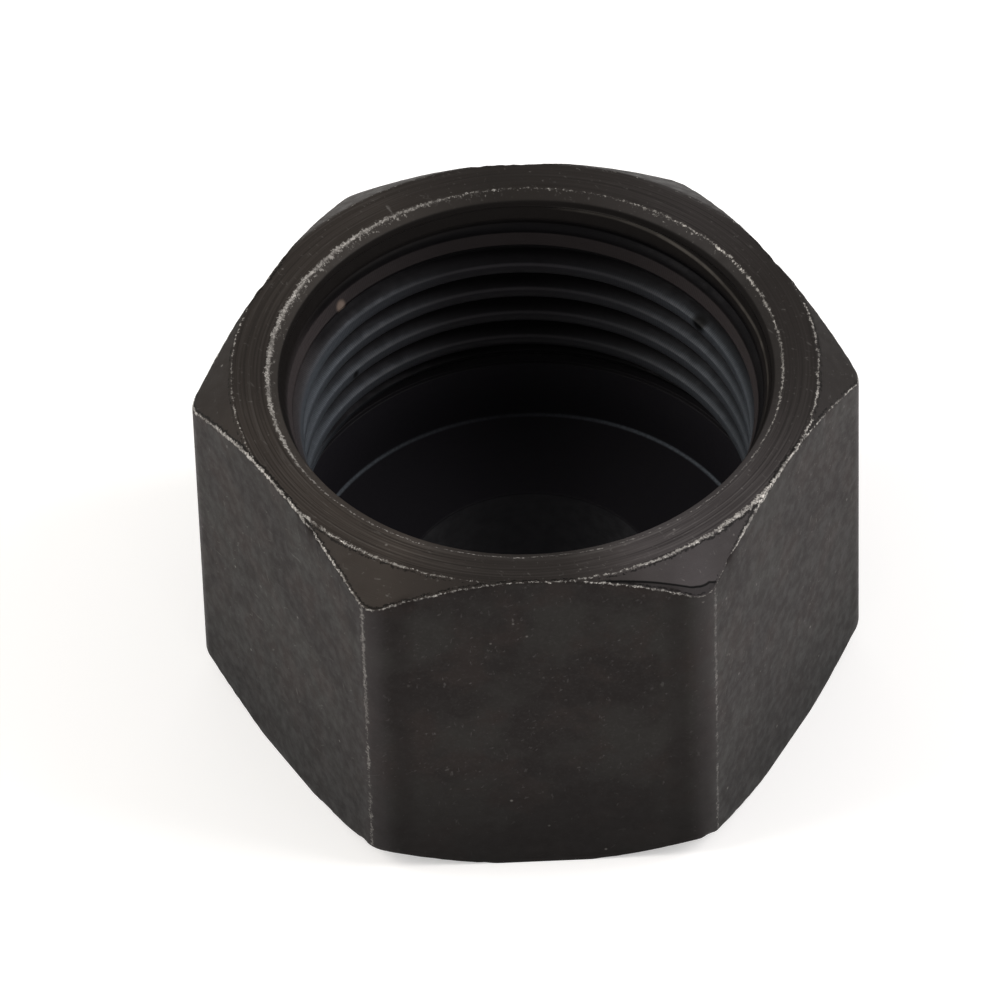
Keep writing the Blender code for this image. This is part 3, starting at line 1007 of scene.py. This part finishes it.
# Nearly black: painted shade in ring hollows and beside worn edges, and the dark nicks and burr.
SHADE_AND_MARK_BLACK = (0.002, 0.002, 0.002, 1.0)
RING_BASE = 0.08
ARC_SPAN, ARC_LIGHT = (0.50, 0.72), 0.030
SHORT_SPAN, SHORT_LIGHT = (0.62, 0.78), 0.050
HAIR_SPAN, HAIR_LIGHT = (0.35, 0.60, 0.3, 1.0), 0.050
WALL_GRAIN_SPAN, WALL_GRAIN_LIGHT = (0.45, 0.75), 0.006
BAND_LIGHT = 0.008
RING_SHADE_SPAN = (0.50, 0.34)
RING_SHADE_SHARES = (0.0, 0.6, 0.12, 0.45)
BURR_SHADOW_SHARE = 0.75

# Painted highlight and shade on the rings, scaled by how much the face faces the lamps.
ring_highlight_gain = black.plus(RING_BASE, black.stored("painted_highlight"))
light = black.plus(
    black.times(black.span(arcs, *ARC_SPAN), mouth, ring_highlight_gain, ARC_LIGHT),
    black.times(black.span(short_rings, *SHORT_SPAN), mouth, ring_highlight_gain, SHORT_LIGHT),
    black.times(hair, outside, black.span(stains, *HAIR_SPAN), HAIR_LIGHT),
    black.times(band_wear, BAND_LIGHT),
    black.times(black.span(grain, *WALL_GRAIN_SPAN), wall, WALL_GRAIN_LIGHT),
)
colour = black.mixed(light, colour, RUBBED_AND_HIGHLIGHT)
ring_shade = black.times(black.span(arcs, *RING_SHADE_SPAN), mouth,
                        black.span(ring_highlight_gain, *RING_SHADE_SHARES))
colour = black.mixed(ring_shade, colour, SHADE_AND_MARK_BLACK)
# Painted burr shadow beside the worn edges of the outer turned faces.
colour = black.mixed(black.times(burr_shadows, outer_turned, BURR_SHADOW_SHARE), colour, SHADE_AND_MARK_BLACK)
print("rubbed marks ready")

# %% [markdown]
# ## Painted sheen and highlights in the bore
# The thread has a painted sheen that is stronger at the sides and crossed by small ticks of the
# tool: brown on the first crest and blue below it. The edge round the seat gets a thin painted
# highlight. So does the foot of the step in the lead-in, and above that runs a line of painted
# shade.

# %% Sheen, seat and step
SHEEN_BLUE = (0.120, 0.138, 0.160, 1.0)
SHEEN_BROWN = (0.125, 0.108, 0.110, 1.0)
STEP_FOOT_HIGHLIGHT_GREY = (0.070, 0.064, 0.057, 1.0)
PAINTED_SHADE_BLACK = (0.0045, 0.0036, 0.0033, 1.0)
FIRST_CREST_SHEEN = (0.0, 1.0, 1.0, 0.55)
TICK_SPAN = (-1.0, 1.0, 0.60, 1.0)
SHEEN_GRAIN = (0.2, 0.8, 0.70, 1.0)
SEAT_WIDTHS = (0.04, 0.17)
SEAT_GRAIN = (0.3, 0.7, 0.6, 1.0)
DARK_ABOVE, DARK_WIDTHS, DARK_SHARE = 0.26, (0.06, 0.18), 0.8
STEP_FOOT_HIGHLIGHT_WIDTHS = (0.03, 0.12)
STEP_FOOT_HIGHLIGHT_STRETCHES = (0.35, 0.60, 0.5, 1.0)

# Painted sheen on the thread's crests and flanks, by compass angle.
sheen = black.plus(black.times(crest, black.stored("sheen")), flank_sheen)
sheen_share = black.times(sheen, black.span(first_crest, *FIRST_CREST_SHEEN),
                           black.span(ticks, *TICK_SPAN), black.span(grain, *SHEEN_GRAIN))
sheen_colour = black.mixed(first_crest, SHEEN_BLUE, SHEEN_BROWN)
colour = black.mixed(sheen_share, colour, sheen_colour)

# Painted highlight along the seat's edge.
seat_highlight = black.times(black.close_to(black.stored("from_seat"), *SEAT_WIDTHS),
                        black.stored("seat_shine"), black.span(grain, *SEAT_GRAIN))
colour = black.mixed(seat_highlight, colour, SHEEN_BLUE)

# Painted highlight at the foot of the step, with painted shade just above it.
from_step = black.stored("from_step")
step_light_and_shade = black.times(black.stored("step_light_and_shade"), inner)
step_shade_line = black.close_to(black.less(from_step, DARK_ABOVE), *DARK_WIDTHS)
colour = black.mixed(black.times(step_shade_line, step_light_and_shade, DARK_SHARE), colour, PAINTED_SHADE_BLACK)
step_foot_highlight = black.times(black.close_to(from_step, *STEP_FOOT_HIGHLIGHT_WIDTHS), step_light_and_shade,
                    black.span(stretches, *STEP_FOOT_HIGHLIGHT_STRETCHES))
colour = black.mixed(step_foot_highlight, colour, STEP_FOOT_HIGHLIGHT_GREY)
print("light edges in the bore ready")

# %% [markdown]
# ## Spots and a pressed burr
# Three small spots lie in the bore: a tan one on the first crest and two dark nicks in the thread.
# Beside the right front corner a burr lies pressed flat on the chamfer, as a dark strip with a
# line of painted shade along its upper border.

# %% Spots and burr
SPOT_TAN = (0.20, 0.155, 0.13, 1.0)
SPOT_CORE = 0.35
# Degrees, radius, depth below the mouth, size, colour and share; lengths in millimetres
SPOTS = [
    (140.9, 10.74, 2.21, 0.40, SPOT_TAN, 0.80),
    (139.1, 10.40, 6.78, 0.30, SHADE_AND_MARK_BLACK, 0.90),
    (37.0, 10.45, 3.85, 0.62, SHADE_AND_MARK_BLACK, 0.95),
]
BURR_UPPER, BURR_LOWER, BURR_SHARE = (-0.02, 0.03), (-0.02, -0.06), 0.45
BURR_SHADE_LINE = (0.03, 0.09)
BURR_ENDS = (0.04, 0.10)


def spot(degrees, radius, below_mouth, size, shade, amount):
    """The colour so far with a soft round spot at a place in the bore."""
    turn = math.radians(degrees)
    middle = (radius * math.cos(turn) * MM, radius * math.sin(turn) * MM,
              (HEIGHT - below_mouth) * MM)
    off = black.vector("LENGTH", black.vector("SUBTRACT", black.place, middle))
    share = black.times(black.span(off, size * MM, SPOT_CORE * size * MM), amount)
    return black.mixed(share, colour, shade)


for one_spot in SPOTS:
    colour = spot(*one_spot)

burr, from_arc = black.stored("burr"), black.stored("from_arc")
from_burr = black.plus(from_arc, burr)
burr_strip = black.times(black.span(from_burr, *BURR_UPPER), black.span(from_arc, *BURR_LOWER),
                         BURR_SHARE)
# Painted shade along the burr's upper border.
burr_shade_line = black.close_to(from_burr, *BURR_SHADE_LINE)
burr_and_shade = black.times(black.most(burr_strip, burr_shade_line), black.span(burr, *BURR_ENDS))
colour = black.mixed(burr_and_shade, colour, SHADE_AND_MARK_BLACK)
print(len(SPOTS), "spots and a burr ready")

# %% [markdown]
# ## Borders of the flats
# Painted shade makes the front flat a little darker than the others, and every flat darker
# towards its foot. The front flat is redder along its upright borders. The rounded corners between
# them are rubbed a little paler.

# %% Borders of the flats
BORDER_BROWN = (0.0110, 0.0085, 0.0080, 1.0)
FRONT_SPAN = (-(FLAT_DISTANCE - 0.35) * MM, -(FLAT_DISTANCE - 0.05) * MM)
BORDER_STARTS, BORDER_ENDS, BORDER_SHARE = (0.75, 1.15), (1.95, 1.35), 0.50
FRONT_SHADE_SHARE = 0.14
FOOT_SHADE_SPAN, FOOT_SHADE_SHARE = (9.0 * MM, 0.5 * MM), 0.80
CORNER_SPAN = (0.95, 0.25)
CORNER_PALE = (2.0 * MM, 17.0 * MM, 0.22, 0.32)

from_corner = black.stored("from_corner")
front = black.span(y, *FRONT_SPAN)
border = black.times(black.span(from_corner, *BORDER_STARTS),
                     black.span(from_corner, *BORDER_ENDS), front)
colour = black.mixed(black.times(border, BORDER_SHARE), colour, BORDER_BROWN)
# Painted shade on the front flat, and towards the foot of every flat.
colour = black.mixed(black.times(front, wall, FRONT_SHADE_SHARE), colour, PAINTED_SHADE_BLACK)
foot = black.times(black.span(z, *FOOT_SHADE_SPAN), wall, FOOT_SHADE_SHARE)
colour = black.mixed(foot, colour, PAINTED_SHADE_BLACK)
on_corner = black.times(black.span(from_corner, *CORNER_SPAN), wall, black.span(z, *CORNER_PALE))
colour = black.mixed(on_corner, colour, HIGHLIGHT_AND_RUB_COOL)
print("borders of the flats ready")

# %% [markdown]
# ## The steel's shader
# Bare steel is metal, and the oxide is a dull skin that reflects very little. The painted sheen on
# the thread is partly metallic. So is the painted shade in the grooves, because a nearly black
# metal reflects less than black oxide does. The relief is only about a hundredth of a millimetre
# deep: rings on the turned faces, scratches on the flats and a fine unevenness everywhere.

# %% Black steel
BARE = (0.52, 0.50, 0.47, 1.0)
SHEEN_METAL, GROOVE_SHADE_METAL = 0.55, 0.50
ROUGHNESS = (1.8 * PER_MM, 4.0, 0.6)
ROUGHNESS_SPAN = (0.3, 0.7, 0.44, 0.58)
CREST_POLISH = 0.12
OXIDE_IOR = 1.5
OXIDE_SPECULAR = 0.075
RELIEF_DEPTH = 0.014
RING_RELIEF = (0.0, 0.8, 0.25, 1.1)
SCRATCH_RELIEF = 0.07
UNEVEN = (3.0 * PER_MM, 4.0, 0.60)
UNEVEN_RELIEF = 0.40

black.put(black.shader.inputs["Base Color"], black.mixed(bright, colour, BARE))
metal = black.most(bright, black.times(sheen_share, SHEEN_METAL),
                   black.times(groove_shade, inner, GROOVE_SHADE_METAL))
black.put(black.shader.inputs["Metallic"], metal)
roughness = black.span(black.noise(*ROUGHNESS), *ROUGHNESS_SPAN)
roughness = black.less(roughness, black.times(crest, CREST_POLISH))
black.put(black.shader.inputs["Roughness"], roughness)
black.shader.inputs["IOR"].default_value = OXIDE_IOR
black.shader.inputs["Specular IOR Level"].default_value = OXIDE_SPECULAR

relief = black.plus(
    black.times(arcs, turned, black.span(black.stored("painted_highlight"), *RING_RELIEF)),
    black.times(scratches, wall, SCRATCH_RELIEF),
    black.times(black.noise(*UNEVEN), UNEVEN_RELIEF),
)
black.put(black.shader.inputs["Normal"], black.bumps(relief, RELIEF_DEPTH))
nut.data.materials.append(black.material)
print("black finish on", nut.name)

# %% [markdown]
# ## Floor and light
# The nut stands on a white sheet between two soft lamps at its sides, in a room whose walls are
# brighter than its ceiling. The sheet looks white to the camera and in reflections, and still
# darkens where the nut keeps the light out.

# %% Floor
FLOOR_HALF = 450.0
FLOOR_COLOUR = (0.82, 0.82, 0.82, 1.0)
FLOOR_GLOW = 0.37

corners = np.array([[-1, -1, 0], [1, -1, 0], [1, 1, 0], [-1, 1, 0]], float) * FLOOR_HALF * MM
floor = new_mesh_object("floor", corners, np.array([[0, 1, 2], [0, 2, 3]]))
sheet = Recipe("white_sheet")
sheet.shader.inputs["Base Color"].default_value = FLOOR_COLOUR
sheet.shader.inputs["Roughness"].default_value = 1.0
sheet.shader.inputs["Specular IOR Level"].default_value = 0.0
rays = sheet.tree.nodes.new("ShaderNodeLightPath")
glow = sheet.tree.nodes.new("ShaderNodeEmission")
glow.inputs["Color"].default_value = (1.0, 1.0, 1.0, 1.0)
seen = sheet.most(*(rays.outputs[name] for name in
                    ("Is Camera Ray", "Is Glossy Ray", "Is Transmission Ray")))
sheet.put(glow.inputs["Strength"], sheet.times(seen, FLOOR_GLOW))
both = sheet.tree.nodes.new("ShaderNodeAddShader")
sheet.put(both.inputs[0], sheet.shader.outputs["BSDF"])
sheet.put(both.inputs[1], glow.outputs["Emission"])
sheet.put(sheet.output.inputs["Surface"], both.outputs[0])
floor.data.materials.append(sheet.material)
print("floor", 2 * FLOOR_HALF, "mm square")

# %% World and lamps
WALL_LIGHT = 1.0
CEILING_LIGHT = 0.27
ROOM_TINT = (1.0, 0.98, 0.955, 1.0)
# Angles above the horizon at which the walls start to darken and the ceiling starts
WALL_TOP = math.radians(15)
CEILING_EDGE = math.radians(55)
# Name, place and side in millimetres, power in watts, tint
LAMPS = [
    ("window_left", (-300, -22, 270), 210, 0.86, (1.0, 0.96, 0.91)),
    ("window_right", (300, -22, 270), 210, 0.98, (1.0, 0.97, 0.96)),
]

world = bpy.data.worlds.new("room")
world.use_nodes = True
bpy.context.scene.world = world
nodes, links = world.node_tree.nodes, world.node_tree.links
room = nodes["Background"]
room.inputs["Color"].default_value = ROOM_TINT
direction = nodes.new("ShaderNodeTexCoord")
parts = nodes.new("ShaderNodeSeparateXYZ")
level_light = nodes.new("ShaderNodeMapRange")
level_light.interpolation_type = "SMOOTHSTEP"
for name, value in zip(("From Min", "From Max", "To Min", "To Max"),
                       (math.sin(WALL_TOP), math.sin(CEILING_EDGE), WALL_LIGHT, CEILING_LIGHT)):
    level_light.inputs[name].default_value = value
links.new(direction.outputs["Generated"], parts.inputs["Vector"])
links.new(parts.outputs["Z"], level_light.inputs["Value"])
links.new(level_light.outputs["Result"], room.inputs["Strength"])


def soft_lamp(name, stand, size, power, tint):
    """A square lamp that looks at the nut."""
    data = bpy.data.lights.new(name, "AREA")
    data.size = size * MM
    data.energy = power
    data.color = tint
    lamp = bpy.data.objects.new(name, data)
    bpy.context.scene.collection.objects.link(lamp)
    away = (np.array(stand, float) - AIM) / np.linalg.norm(np.array(stand) - AIM)
    side = np.cross([0.0, 0.0, 1.0], away)
    side /= np.linalg.norm(side)
    turned_to = np.eye(4)
    turned_to[:3, 0], turned_to[:3, 1], turned_to[:3, 2] = side, np.cross(away, side), away
    turned_to[:3, 3] = np.array(stand) * MM
    lamp.matrix_world = Matrix(turned_to.tolist())


for lamp_sizes in LAMPS:
    soft_lamp(*lamp_sizes)
print(len(LAMPS), "lamps ready")

bpy.context.scene.view_settings.view_transform = "Standard"
